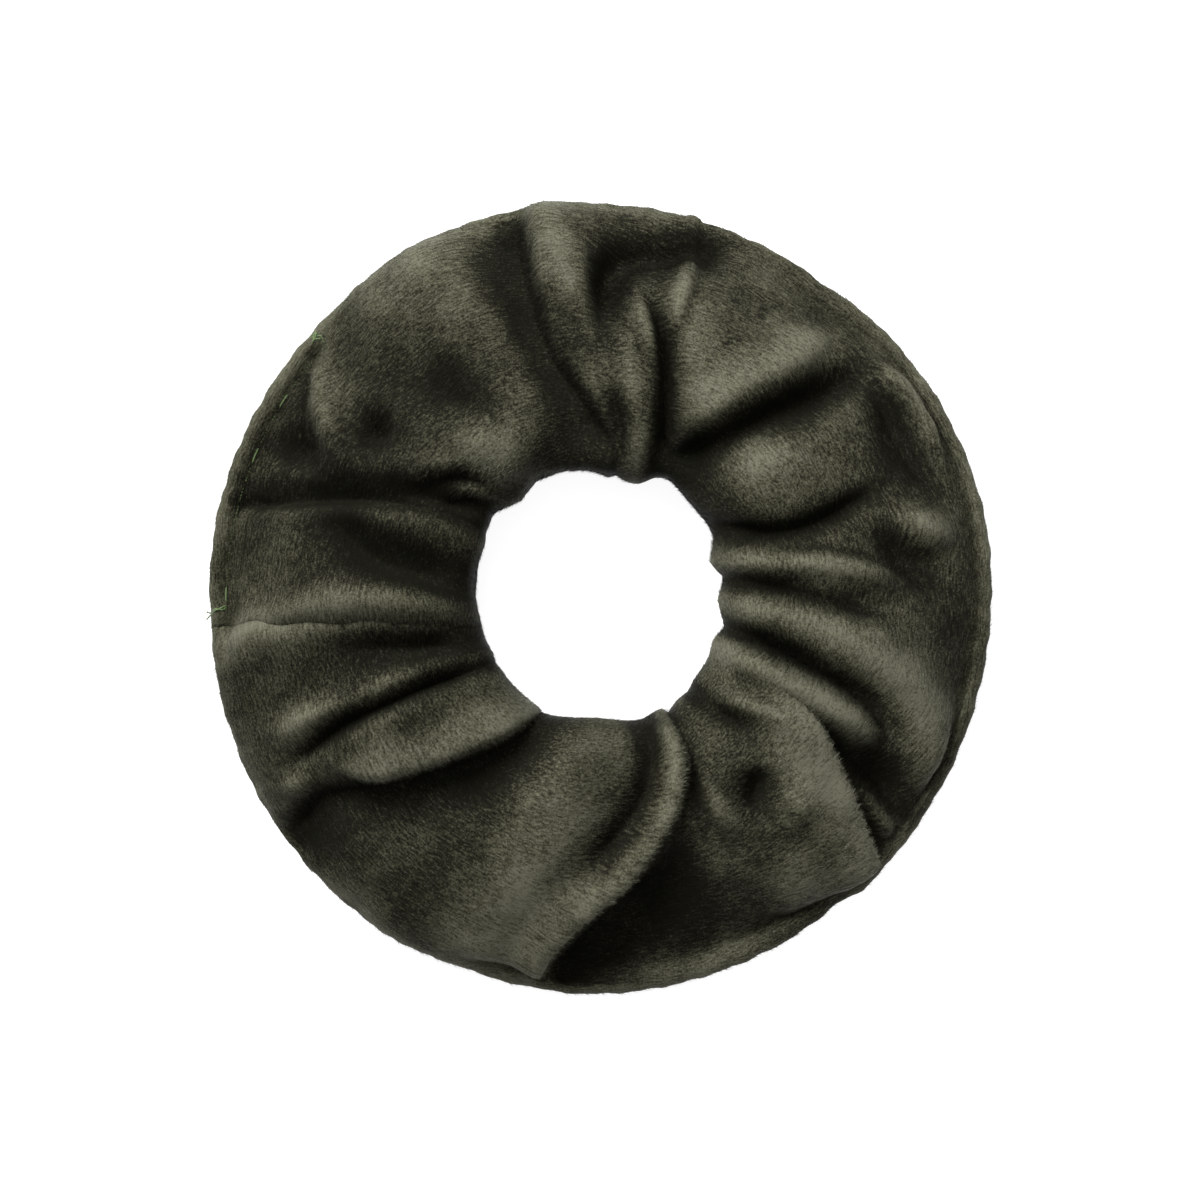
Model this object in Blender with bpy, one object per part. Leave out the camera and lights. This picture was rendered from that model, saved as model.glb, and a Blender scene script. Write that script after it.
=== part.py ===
"""A velvet scrunchie: a strip of velvet sewn into a ring-shaped tube, gathered round a loop of elastic.

The ring lies flat on z = 0 with its hole's axis on Z. The strip's short ends meet in the cross seam. Its
long edges meet round the outside, in the long seam, whose allowances are turned in to make the rim. The
stretch that was left open for turning and for the elastic is closed by a row of lockstitch through all four
plies of the rim.

Every piece is modelled with the cross seam at +X, and its parent empty turns it to CROSS_SEAM_ANGLE.
"""

import math

import bmesh
import bpy
from mathutils import Matrix, Quaternion, Vector

MM = 0.001

# The ring
OUTER_RADIUS = 65.0 * MM
HOLE_RADIUS = 20.5 * MM
HEIGHT = 24.0 * MM
FLAT_INNER_X = 31.0 * MM  # the underside lies flat from here ...
FLAT_OUTER_X = 51.0 * MM  # ... to here
CROSS_SEAM_ANGLE = math.radians(184.0)

# The velvet and how it is sewn
CLOTH = 0.9 * MM  # one ply, pile pressed flat
RIM_GAP = 0.5 * MM  # between a ply and its own turned-in allowance
SEAM_GAP = 0.3 * MM  # between the two edges of a seam
ALLOWANCE = 5.0 * MM
RIM_Z = 6.0 * MM  # where the two allowances meet
RIM_WIDTH = 3.8 * MM

# The curves of the strip's section: how far each runs straight on from its two ends, and its points
FLANK_PULLS = (3.0 * MM, 4.0 * MM)
FLANK_POINTS = 3
UNDER_NOSE_PULLS = (6.0 * MM, 5.5 * MM)
UNDER_NOSE_POINTS = 5
OVER_NOSE_PULLS = (6.0 * MM, 6.5 * MM)
OVER_NOSE_POINTS = 6
TOP_PULLS = (13.0 * MM, 6.0 * MM)
TOP_POINTS = 7

# The gathers, which are deepest at the hole and die out at the rim
GATHERS = 14
STATIONS_PER_GATHER = 4
GATHER_RISE = 1.3 * MM
GATHER_START_Z = 4.0 * MM  # they begin at this height ...
GATHER_FULL_Z = 10.0 * MM  # ... and rise fully from this one
GATHER_FADE = 0.7  # below 1 they keep more of their rise towards the rim
GATHER_BULGE = 0.5 * MM
GATHER_BULGE_REACH = 6.0 * MM
GATHER_BULGE_FULL_Z = 5.0 * MM

# The thread
THREAD_RADIUS = 0.13 * MM
THREAD_GAP = 0.08 * MM  # between a thread and what it lies on
STITCH = 3.0 * MM
CLOSING_THREAD_SIDES = 5
JOIN_THREAD_SIDES = 4
HIDDEN_THREAD_SIDES = 3

# The closing row, as angles from the cross seam
CLOSING_START = math.radians(-46.5)
CLOSING_END = math.radians(-3.3)
CLOSING_STITCHES = 14
CLOSING_INSET = 2.6 * MM  # from the ring's edge
NEEDLE_HOLE_RADIUS = 0.55 * MM
NEEDLE_HOLE_SIDES = 6
NEEDLE_HOLE_LENGTH = 7.2 * MM  # past all four plies of the rim
HALF_LOOP = 0.20 * MM  # half the width of the loop that a thread makes in a needle hole
TAIL_TURN = math.radians(0.9)

# The elastic, a flat braid whose ends overlap
ELASTIC_WIDTH = 6.0 * MM
ELASTIC_THICKNESS = 1.0 * MM
ELASTIC_RADIUS = 25.0 * MM
ELASTIC_HEIGHT = 10.5 * MM  # of its middle above z = 0
ELASTIC_OVERLAP = 12.0 * MM
ELASTIC_PLY_GAP = 0.15 * MM
ELASTIC_RAMP = math.radians(30.0)  # over which the outer end climbs onto the inner one
ELASTIC_STATIONS = 54
JOIN_ANGLE = math.radians(200.0)  # where the overlap starts
JOIN_MARGIN = 1.5 * MM
JOIN_SWING = 2.2 * MM
JOIN_ZIGZAGS = 5

HALF_CLOTH = CLOTH / 2
CLOSING_RADIUS = OUTER_RADIUS - CLOSING_INSET
ROLL_RADIUS = (CLOTH + RIM_GAP) / 2  # of a turned edge, at the middle of the cloth
ROLL_X = OUTER_RADIUS - HALF_CLOTH - ROLL_RADIUS
FLAP_END_X = ROLL_X - ALLOWANCE
RIM_INNER_X = OUTER_RADIUS - RIM_WIDTH
LOW_FLAP_Z = RIM_Z - SEAM_GAP / 2 - HALF_CLOTH
HIGH_FLAP_Z = RIM_Z + SEAM_GAP / 2 + HALF_CLOTH
RIM_BOTTOM_Z = LOW_FLAP_Z - 2 * ROLL_RADIUS  # the middles of the rim's outer plies
RIM_TOP_Z = HIGH_FLAP_Z + 2 * ROLL_RADIUS
NOSE = Vector((HOLE_RADIUS + HALF_CLOTH, ELASTIC_HEIGHT))
CREST = Vector((34.0 * MM, HEIGHT - HALF_CLOTH - GATHER_RISE))
THREAD_REACH = THREAD_RADIUS + THREAD_GAP
SMOOTH_ANGLE = math.radians(40.0)  # below this an edge is shaded smooth


def clear_scene():
    for obj in list(bpy.data.objects):
        bpy.data.objects.remove(obj)


def material(name, colour, roughness):
    made = bpy.data.materials.new(name)
    made.use_nodes = True
    shader = made.node_tree.nodes["Principled BSDF"]
    shader.inputs["Base Color"].default_value = (*colour, 1.0)
    shader.inputs["Roughness"].default_value = roughness
    shader.inputs["Metallic"].default_value = 0.0
    return made


def turned_empty(name):
    """An empty on the hole's axis, which is also the axis that the elastic slips round."""
    empty = bpy.data.objects.new(name, None)
    empty.rotation_euler.z = CROSS_SEAM_ANGLE
    bpy.context.scene.collection.objects.link(empty)
    return empty


def new_object(name, bm, finish, parent):
    bmesh.ops.recalc_face_normals(bm, faces=bm.faces)
    mesh = bpy.data.meshes.new(name)
    bm.to_mesh(mesh)
    bm.free()
    mesh.materials.append(finish)
    mesh.shade_smooth()
    mesh.set_sharp_from_angle(angle=SMOOTH_ANGLE)
    obj = bpy.data.objects.new(name, mesh)
    bpy.context.scene.collection.objects.link(obj)
    obj.parent = parent
    return obj


def on_ring(radius, angle, z):
    return Vector((radius * math.cos(angle), radius * math.sin(angle), z))


# The strip's section


def bezier(start, start_pull, end_pull, end, steps):
    """Points along a cubic, without its first one."""
    points = []
    for i in range(1, steps + 1):
        t = i / steps
        s = 1 - t
        points.append(s**3 * start + 3 * s * s * t * start_pull + 3 * s * t * t * end_pull + t**3 * end)
    return points


def turned_edge(centre_z, steps=3):
    """Points half way round a turned edge, from its top to its bottom, at the middle of the cloth."""
    angles = [math.pi / 2 - math.pi * i / steps for i in range(steps + 1)]
    centre = Vector((ROLL_X, centre_z))
    return [centre + ROLL_RADIUS * Vector((math.cos(a), math.sin(a))) for a in angles]


def tube_path():
    """The middle of the cloth from under the rim, round the elastic, to the rim's top."""
    low_rim = Vector((RIM_INNER_X, RIM_BOTTOM_Z))
    flat_outer = Vector((FLAT_OUTER_X, HALF_CLOTH))
    flat_inner = Vector((FLAT_INNER_X, HALF_CLOTH))
    high_rim = Vector((RIM_INNER_X, RIM_TOP_Z))
    up = Vector((0, 1))
    out = Vector((1, 0))
    start, end = FLANK_PULLS
    flank = bezier(low_rim, low_rim - start * out, flat_outer + end * out, flat_outer, FLANK_POINTS)
    start, end = UNDER_NOSE_PULLS
    under_nose = bezier(flat_inner, flat_inner - start * out, NOSE - end * up, NOSE, UNDER_NOSE_POINTS)
    start, end = OVER_NOSE_PULLS
    over_nose = bezier(NOSE, NOSE + start * up, CREST - end * out, CREST, OVER_NOSE_POINTS)
    start, end = TOP_PULLS
    top = bezier(CREST, CREST + start * out, high_rim - end * out, high_rim, TOP_POINTS)
    return [low_rim] + flank + [flat_inner] + under_nose + over_nose + top


def strip_path():
    """The middle of the cloth across the whole strip, from one long edge to the other."""
    low_edge = Vector((FLAP_END_X, LOW_FLAP_Z))
    high_edge = Vector((FLAP_END_X, HIGH_FLAP_Z))
    low_turn = turned_edge(LOW_FLAP_Z - ROLL_RADIUS)
    high_turn = turned_edge(HIGH_FLAP_Z + ROLL_RADIUS)
    return [low_edge] + low_turn + tube_path() + high_turn + [high_edge]


def path_normals(path):
    """The normal at each point of a path, out of the tube, lengthened at corners to keep the thickness."""
    runs = [(b - a).normalized() for a, b in zip(path, path[1:])]
    normals = []
    for before, after in zip([runs[0]] + runs, runs + [runs[-1]]):
        mitre = (before + after).normalized()
        normals.append(Vector((-mitre.y, mitre.x)) / mitre.dot(before))
    return normals


def gathered(point):
    """Where a point of the smooth ring goes once the cloth is gathered on its elastic."""
    radius = math.hypot(point.x, point.y)
    wave = math.cos(GATHERS * math.atan2(point.y, point.x))
    upper = min(max((point.z - GATHER_START_Z) / (GATHER_FULL_Z - GATHER_START_Z), 0), 1)
    inner = min(max((RIM_INNER_X - radius) / (RIM_INNER_X - HOLE_RADIUS), 0), 1)
    rise = GATHER_RISE * wave * upper * inner**GATHER_FADE
    near_nose = max(0, 1 - (radius - HOLE_RADIUS) / GATHER_BULGE_REACH)
    off_floor = min(max(point.z / GATHER_BULGE_FULL_Z, 0), 1)
    sunk = GATHER_BULGE * (1 - wave) * near_nose * off_floor
    scale = (radius + sunk) / radius
    return Vector((point.x * scale, point.y * scale, point.z + rise))


# The cover


def spun_strip():
    """The strip's section spun round the hole. The cloth is doubled beside the cross seam, whose allowances
    are pressed open, and the two ends stop SEAM_GAP apart."""
    path = strip_path()
    normals = path_normals(path)
    bm = bmesh.new()
    pressed = bm.verts.layers.float_vector.new("pressed")
    outside = []
    inside = []
    for point, normal in zip(path, normals):
        side = Vector((normal.x, 0, normal.y))
        middle = Vector((point.x, 0, point.y))
        outside.append(bm.verts.new(middle + side * HALF_CLOTH))
        vert = bm.verts.new(middle - side * HALF_CLOTH)
        if point.x < FLAP_END_X - CLOTH:
            vert[pressed] = -side * CLOTH
        inside.append(vert)
    section = bm.faces.new(outside + inside[::-1])

    steps = GATHERS * STATIONS_PER_GATHER
    per_station = len(section.verts)
    geometry = list(section.verts) + list(section.edges) + [section]
    bmesh.ops.spin(bm, geom=geometry, axis=(0, 0, 1), cent=(0, 0, 0), angle=math.tau, steps=steps)
    bm.verts.ensure_lookup_table()
    for station in (0, 1, steps - 1, steps):
        turn = Matrix.Rotation(station * math.tau / steps, 3, "Z")
        for vert in bm.verts[station * per_station : (station + 1) * per_station]:
            vert.co += turn @ Vector(vert[pressed])
    for vert in bm.verts:
        vert.co = gathered(vert.co)
    for vert in bm.verts[:per_station]:
        vert.co.y = SEAM_GAP / 2
    for vert in bm.verts[steps * per_station :]:
        vert.co.y = -SEAM_GAP / 2
    return bm


def needle_hole_cutter(parent):
    """One prism through all plies of the rim at each needle hole of the closing row."""
    bm = bmesh.new()
    for angle in closing_angles():
        place = Matrix.Translation(on_ring(CLOSING_RADIUS, angle, RIM_Z)) @ Matrix.Rotation(angle, 4, "Z")
        bmesh.ops.create_cone(
            bm,
            cap_ends=True,
            segments=NEEDLE_HOLE_SIDES,
            radius1=NEEDLE_HOLE_RADIUS,
            radius2=NEEDLE_HOLE_RADIUS,
            depth=NEEDLE_HOLE_LENGTH,
            matrix=place,
        )
    mesh = bpy.data.meshes.new("needle_hole_cutter")
    bm.to_mesh(mesh)
    bm.free()
    cutter = bpy.data.objects.new("needle_hole_cutter", mesh)
    bpy.context.scene.collection.objects.link(cutter)
    cutter.parent = parent
    cutter.hide_render = True
    cutter.display_type = "WIRE"
    return cutter


def build_cover(finish, parent):
    cover = new_object("velvet_cover", spun_strip(), finish, parent)
    cut = cover.modifiers.new("needle_holes", "BOOLEAN")
    cut.operation = "DIFFERENCE"
    cut.object = needle_hole_cutter(parent)


# The threads


def build_thread(name, points, sides, finish, parent):
    """A thread along a route, as a closed tube with mitred corners."""
    runs = [(b - a).normalized() for a, b in zip(points, points[1:])]
    spoke = runs[0].orthogonal().normalized() * THREAD_RADIUS
    bm = bmesh.new()
    rings = []
    for i, point in enumerate(points):
        before = runs[max(i - 1, 0)]
        after = runs[min(i, len(runs) - 1)]
        mitre = (before + after).normalized()
        ring = []
        for k in range(sides):
            offset = Quaternion(before, math.tau * k / sides) @ spoke
            offset -= before * (offset.dot(mitre) / before.dot(mitre))
            ring.append(bm.verts.new(point + offset))
        rings.append(ring)
        spoke = before.rotation_difference(after) @ spoke
    for low, high in zip(rings, rings[1:]):
        for k in range(sides):
            bm.faces.new((low[k], low[(k + 1) % sides], high[(k + 1) % sides], high[k]))
    bm.faces.new(rings[0][::-1])
    bm.faces.new(rings[-1])
    new_object(name, bm, finish, parent)


def closing_angles():
    step = (CLOSING_END - CLOSING_START) / CLOSING_STITCHES
    return [CLOSING_START + i * step for i in range(CLOSING_STITCHES + 1)]


def closing_route(level, loop_level):
    """Along the rim's face, down into each needle hole as a loop, and off over the rim as a tail."""
    half_loop = HALF_LOOP / CLOSING_RADIUS
    angles = closing_angles()
    points = [on_ring(CLOSING_RADIUS, angles[0] + half_loop, loop_level)]
    points.append(on_ring(CLOSING_RADIUS, angles[0] + half_loop, level))
    for angle in angles[1:-1]:
        points.append(on_ring(CLOSING_RADIUS, angle - half_loop, level))
        points.append(on_ring(CLOSING_RADIUS, angle - half_loop, loop_level))
        points.append(on_ring(CLOSING_RADIUS, angle + half_loop, loop_level))
        points.append(on_ring(CLOSING_RADIUS, angle + half_loop, level))
    points.append(on_ring(CLOSING_RADIUS, angles[-1], level))
    tail_start = (CLOSING_RADIUS + ROLL_X) / 2
    points.append(on_ring(tail_start, angles[-1] + TAIL_TURN, level))
    points.append(on_ring(OUTER_RADIUS - 2 * THREAD_RADIUS, angles[-1] + 2 * TAIL_TURN, level))
    return points


def build_closing_threads(finish, parent):
    """The needle thread lies on the rim and the bobbin thread under it, and their loops meet in the holes."""
    top = RIM_TOP_Z + HALF_CLOTH + THREAD_REACH
    bottom = RIM_BOTTOM_Z - HALF_CLOTH - THREAD_REACH
    needle_route = closing_route(top, RIM_Z + THREAD_REACH)
    bobbin_route = closing_route(bottom, RIM_Z - THREAD_REACH)
    build_thread("closing_needle_thread", needle_route, CLOSING_THREAD_SIDES, finish, parent)
    build_thread("closing_bobbin_thread", bobbin_route, CLOSING_THREAD_SIDES, finish, parent)


def build_long_seam_threads(finish, parent):
    """From the cross seam round to the start of the closing row, in the rim, on both allowances."""
    radius = ROLL_X - STITCH / 4
    start = STITCH / radius
    end = math.tau + CLOSING_START - STITCH / radius
    stitches = round((end - start) * radius / STITCH)
    reach = HALF_CLOTH + RIM_GAP / 2
    needle_route = []
    bobbin_route = []
    for i in range(stitches + 1):
        angle = start + (end - start) * i / stitches
        needle_route.append(on_ring(radius, angle, HIGH_FLAP_Z + reach))
        bobbin_route.append(on_ring(radius, angle, LOW_FLAP_Z - reach))
    build_thread("long_seam_needle_thread", needle_route, HIDDEN_THREAD_SIDES, finish, parent)
    build_thread("long_seam_bobbin_thread", bobbin_route, HIDDEN_THREAD_SIDES, finish, parent)


def build_cross_seam_threads(finish, parent):
    """Inside the tube on each side of the cross seam, from the lower allowance round to the upper one."""
    inward = HALF_CLOTH + CLOTH + 2 * THREAD_REACH
    path = tube_path()
    line = [p - n * inward for p, n in zip(path, path_normals(path)) if p.x < FLAP_END_X - 2 * CLOTH]
    for name, side in (("cross_seam_needle_thread", 1), ("cross_seam_bobbin_thread", -1)):
        route = []
        for start, end in zip(line, line[1:]):
            parts = max(1, round((end - start).length / STITCH))
            for i in range(parts):
                at = start.lerp(end, i / parts)
                route.append(gathered(Vector((at.x, side * CLOTH, at.y))))
        build_thread(name, route, HIDDEN_THREAD_SIDES, finish, parent)


# The elastic


def elastic_radius(turn):
    """The middle of the braid, this far round from its inner end. The outer end lies on the inner one."""
    share = min(max((turn - math.tau + ELASTIC_RAMP) / ELASTIC_RAMP, 0), 1)
    return ELASTIC_RADIUS + (ELASTIC_THICKNESS + ELASTIC_PLY_GAP) * share * share * (3 - 2 * share)


def build_elastic(finish, parent):
    whole_turn = math.tau + ELASTIC_OVERLAP / ELASTIC_RADIUS
    bm = bmesh.new()
    rings = []
    for i in range(ELASTIC_STATIONS + 1):
        turn = whole_turn * i / ELASTIC_STATIONS
        inner = elastic_radius(turn) - ELASTIC_THICKNESS / 2
        low = ELASTIC_HEIGHT - ELASTIC_WIDTH / 2
        corners = [
            (inner, low),
            (inner + ELASTIC_THICKNESS, low),
            (inner + ELASTIC_THICKNESS, low + ELASTIC_WIDTH),
            (inner, low + ELASTIC_WIDTH),
        ]
        rings.append([bm.verts.new(on_ring(radius, JOIN_ANGLE + turn, z)) for radius, z in corners])
    for low, high in zip(rings, rings[1:]):
        for k in range(4):
            bm.faces.new((low[k], low[(k + 1) % 4], high[(k + 1) % 4], high[k]))
    bm.faces.new(rings[0][::-1])
    bm.faces.new(rings[-1])
    new_object("elastic_band", bm, finish, parent)


def build_elastic_join(finish, parent):
    """A zigzag over the overlapped ends: the needle thread outside them and the bobbin thread inside."""
    outer = ELASTIC_RADIUS + 1.5 * ELASTIC_THICKNESS + ELASTIC_PLY_GAP + THREAD_REACH
    inner = ELASTIC_RADIUS - ELASTIC_THICKNESS / 2 - 2 * THREAD_REACH
    start = JOIN_ANGLE + JOIN_MARGIN / ELASTIC_RADIUS
    end = JOIN_ANGLE + (ELASTIC_OVERLAP - JOIN_MARGIN) / ELASTIC_RADIUS
    for name, radius in (("elastic_join_needle_thread", outer), ("elastic_join_bobbin_thread", inner)):
        route = []
        for i in range(2 * JOIN_ZIGZAGS + 1):
            angle = start + (end - start) * i / (2 * JOIN_ZIGZAGS)
            route.append(on_ring(radius, angle, ELASTIC_HEIGHT + JOIN_SWING * (-1) ** i))
        build_thread(name, route, JOIN_THREAD_SIDES, finish, parent)


def main():
    clear_scene()
    velvet = material("olive_velvet", (0.045, 0.043, 0.030), 0.9)
    braid = material("black_elastic_braid", (0.02, 0.02, 0.02), 0.8)
    seam_thread = material("dark_olive_thread", (0.05, 0.055, 0.03), 0.6)
    closing_thread = material("green_thread", (0.10, 0.16, 0.05), 0.5)

    cover_body = turned_empty("cover_body")
    build_cover(velvet, cover_body)
    build_long_seam_threads(seam_thread, cover_body)
    build_cross_seam_threads(seam_thread, cover_body)
    build_closing_threads(closing_thread, cover_body)

    elastic_body = turned_empty("elastic_body")
    build_elastic(braid, elastic_body)
    build_elastic_join(seam_thread, elastic_body)


main()
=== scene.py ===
import math

import bmesh
import bpy
import numpy as np
from mathutils import Matrix, Vector, noise
from mathutils.bvhtree import BVHTree


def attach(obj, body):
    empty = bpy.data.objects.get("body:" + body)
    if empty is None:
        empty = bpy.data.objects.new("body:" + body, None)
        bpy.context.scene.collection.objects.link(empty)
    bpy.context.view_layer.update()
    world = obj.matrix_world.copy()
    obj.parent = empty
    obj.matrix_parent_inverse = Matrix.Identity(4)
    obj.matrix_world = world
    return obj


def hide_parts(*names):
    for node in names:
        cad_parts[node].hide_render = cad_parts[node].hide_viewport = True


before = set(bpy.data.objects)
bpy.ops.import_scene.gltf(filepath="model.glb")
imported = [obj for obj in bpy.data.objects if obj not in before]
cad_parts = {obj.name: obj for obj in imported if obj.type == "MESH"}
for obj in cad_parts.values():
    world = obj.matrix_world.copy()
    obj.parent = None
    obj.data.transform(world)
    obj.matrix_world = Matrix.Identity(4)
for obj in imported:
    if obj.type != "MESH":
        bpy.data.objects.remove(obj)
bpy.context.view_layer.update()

mm = 0.001
scene = bpy.context.scene
scene.view_settings.view_transform = "Standard"

seamAngle = math.radians(184.0)  # where the strip's two ends meet


# camera, straight above the hole

cameraFacts = {"lens": 110.0, "frameWidth": 0.198, "lookAtHeight": 0.012}


def addCamera():
    data = bpy.data.cameras.new("overheadCamera")
    data.lens = cameraFacts["lens"]
    away = cameraFacts["frameWidth"] * data.lens / data.sensor_width
    camera = bpy.data.objects.new("overheadCamera", data)
    camera.location = (0, 0, cameraFacts["lookAtHeight"] + away)
    scene.collection.objects.link(camera)
    scene.camera = camera


addCamera()


# helpers

def newPiece(name, bm, material):
    mesh = bpy.data.meshes.new(name)
    bm.to_mesh(mesh)
    bm.free()
    mesh.materials.append(material)
    mesh.shade_smooth()
    piece = bpy.data.objects.new(name, mesh)
    scene.collection.objects.link(piece)
    return piece


def sortByCorners(bm):
    # the operators leave edges and faces in no set order, and the pile has to be the same every run
    bm.verts.index_update()
    count = len(bm.verts)

    def byCorners(part):
        corners = sorted(vert.index for vert in part.verts)
        return corners[0] * count + corners[-1]

    bm.edges.sort(key=byCorners)
    bm.faces.sort(key=byCorners)


def polar(degrees, radius, height=0.0):
    a = math.radians(degrees)
    return Vector((radius * mm * math.cos(a), radius * mm * math.sin(a), height * mm))


def throughPoints(points, perSpan):
    # a smooth line through given points
    pts = [Vector(p) for p in points]
    pts = [2 * pts[0] - pts[1]] + pts + [2 * pts[-1] - pts[-2]]
    line = []
    for a, b, c, d in zip(pts, pts[1:], pts[2:], pts[3:]):
        for i in range(perSpan):
            t = i / perSpan
            line.append(0.5 * (2 * b + (c - a) * t + (2 * a - 5 * b + 4 * c - d) * t * t
                               + (3 * b - a - 3 * c + d) * t * t * t))
    line.append(pts[-2])
    return line


def smoothStep(x, low, high):
    t = np.clip((x - low) / (high - low), 0, 1)
    return t * t * (3 - 2 * t)


def aroundRing(places, degrees):
    # a periodic value from (degrees, value) pairs
    at = np.array([p[0] for p in places], float)
    value = np.array([p[1] for p in places], float)
    at = np.concatenate([at - 360, at, at + 360])
    value = np.tile(value, 3)
    return np.interp(degrees, at, value)


# materials

def shaderOf(material):
    return material.node_tree.nodes["Principled BSDF"]


def newMaterial(name, roughness):
    material = bpy.data.materials.new(name)
    material.use_nodes = True
    shaderOf(material).inputs["Roughness"].default_value = roughness
    return material


def addNode(material, kind, **settings):
    node = material.node_tree.nodes.new(kind)
    for key, value in settings.items():
        setattr(node, key, value)
    return node


def noiseNode(material, vector, scale, detail=2.0, roughness=0.5):
    node = addNode(material, "ShaderNodeTexNoise")
    node.inputs["Scale"].default_value = scale
    node.inputs["Detail"].default_value = detail
    node.inputs["Roughness"].default_value = roughness
    material.node_tree.links.new(vector, node.inputs["Vector"])
    return node.outputs["Fac"]


def mathNode(material, operation, a, b):
    node = addNode(material, "ShaderNodeMath", operation=operation)
    for socket, value in zip(node.inputs, (a, b)):
        if isinstance(value, (int, float)):
            socket.default_value = value
        else:
            material.node_tree.links.new(value, socket)
    return node.outputs[0]


def rampNode(material, value, stops):
    node = addNode(material, "ShaderNodeValToRGB")
    ramp = node.color_ramp
    ramp.elements[0].position, ramp.elements[0].color = stops[0][0], (*stops[0][1], 1)
    ramp.elements[1].position, ramp.elements[1].color = stops[-1][0], (*stops[-1][1], 1)
    for position, colour in stops[1:-1]:
        ramp.elements.new(position).color = (*colour, 1)
    material.node_tree.links.new(value, node.inputs["Fac"])
    return node.outputs["Color"]


def bumpNode(material, height, strength, distance):
    node = addNode(material, "ShaderNodeBump")
    node.inputs["Strength"].default_value = strength
    node.inputs["Distance"].default_value = distance
    material.node_tree.links.new(height, node.inputs["Height"])
    return node.outputs["Normal"]


velvetFacts = {
    "colours": [
        (0.00, (0.0061, 0.0060, 0.0042)),
        (0.30, (0.0122, 0.0117, 0.0079)),
        (0.60, (0.042, 0.0412, 0.0264)),
        (1.00, (0.100, 0.0985, 0.0710)),
    ],
    "glint": [(0.1, (0.04, 0.04, 0.03)), (0.7, (0.92, 0.93, 0.76))],
    "grainSize": 0.34 * mm,
    "streakLength": 1.3 * mm,
    "patchSize": 11.0 * mm,
    "grainInColour": 0.65,
    "patchInColour": 0.24,
    "pileHeight": 0.25 * mm,
}


def velvetMaterial(name, bumpStrength):
    facts = velvetFacts
    material = newMaterial(name, 0.6)
    links = material.node_tree.links
    place = addNode(material, "ShaderNodeTexCoord").outputs["Object"]
    lay = addNode(material, "ShaderNodeUVMap", uv_map="lay").outputs["UV"]
    pile = addNode(material, "ShaderNodeAttribute", attribute_name="pile").outputs["Fac"]

    stretch = addNode(material, "ShaderNodeMapping")
    stretch.inputs["Scale"].default_value = (facts["grainSize"] / facts["streakLength"], 1, 1)
    links.new(lay, stretch.inputs["Vector"])
    streaks = noiseNode(material, stretch.outputs["Vector"], 1 / facts["grainSize"], 3.0, 0.6)
    grain = noiseNode(material, place, 1 / facts["grainSize"], 3.0, 0.65)
    patches = noiseNode(material, place, 1 / facts["patchSize"], 3.0, 0.55)

    fine = mathNode(material, "ADD", mathNode(material, "MULTIPLY", streaks, 0.5),
                    mathNode(material, "MULTIPLY", grain, 0.5))
    fineShade = mathNode(material, "MULTIPLY", mathNode(material, "SUBTRACT", fine, 0.5),
                         facts["grainInColour"] * 4)
    patchShade = mathNode(material, "MULTIPLY", mathNode(material, "SUBTRACT", patches, 0.5),
                          facts["patchInColour"] * 4)
    # the pile attribute brings the painted crease shade, fold highlights and rim light into the base colour,
    # with the grain and patches
    shade = mathNode(material, "ADD", pile, mathNode(material, "ADD", fineShade, patchShade))
    links.new(rampNode(material, shade, facts["colours"]), shaderOf(material).inputs["Base Color"])
    # the pile lies over, so the cloth shines as if it were tilted against the lay
    nap = addNode(material, "ShaderNodeAttribute", attribute_name="nap").outputs["Vector"]
    leaning = addNode(material, "ShaderNodeVectorMath", operation="ADD")
    links.new(addNode(material, "ShaderNodeNewGeometry").outputs["Normal"], leaning.inputs[0])
    links.new(nap, leaning.inputs[1])
    upright = addNode(material, "ShaderNodeVectorMath", operation="NORMALIZE")
    links.new(leaning.outputs[0], upright.inputs[0])
    bump = bumpNode(material, fine, bumpStrength, facts["pileHeight"])
    links.new(upright.outputs[0], bump.node.inputs["Normal"])
    links.new(bump, shaderOf(material).inputs["Normal"])

    shader = shaderOf(material)
    shader.inputs["Sheen Weight"].default_value = 0.05
    shader.inputs["Sheen Roughness"].default_value = 0.4
    shader.inputs["Specular IOR Level"].default_value = 0.05
    # the specular and sheen tints follow the same shade, so the painted creases also lose their gloss
    glint = rampNode(material, shade, facts["glint"])
    links.new(glint, shader.inputs["Specular Tint"])
    links.new(glint, shader.inputs["Sheen Tint"])
    return material


def threadMaterial(name, dark, light):
    material = newMaterial(name, 0.45)
    place = addNode(material, "ShaderNodeTexCoord").outputs["Object"]
    fibres = noiseNode(material, place, 1 / (0.12 * mm), 3.0, 0.6)
    colour = rampNode(material, fibres, [(0.3, dark), (0.7, light)])
    links = material.node_tree.links
    links.new(colour, shaderOf(material).inputs["Base Color"])
    links.new(bumpNode(material, fibres, 0.5, 0.04 * mm), shaderOf(material).inputs["Normal"])
    shaderOf(material).inputs["Sheen Weight"].default_value = 0.3
    return material


oliveVelvet = velvetMaterial("oliveVelvet", 0.5)
oliveFibre = velvetMaterial("oliveFibre", 0.0)
shaderOf(oliveFibre).inputs["Roughness"].default_value = 0.5
shaderOf(oliveFibre).inputs["Specular IOR Level"].default_value = 0.18
greenThread = threadMaterial("greenThread", (0.02, 0.04, 0.008), (0.10, 0.17, 0.035))
oliveThread = threadMaterial("darkOliveThread", (0.02, 0.022, 0.012), (0.07, 0.075, 0.045))
print("materials made")


# the velvet cover: the strip's section spun round the hole, then folded

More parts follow.
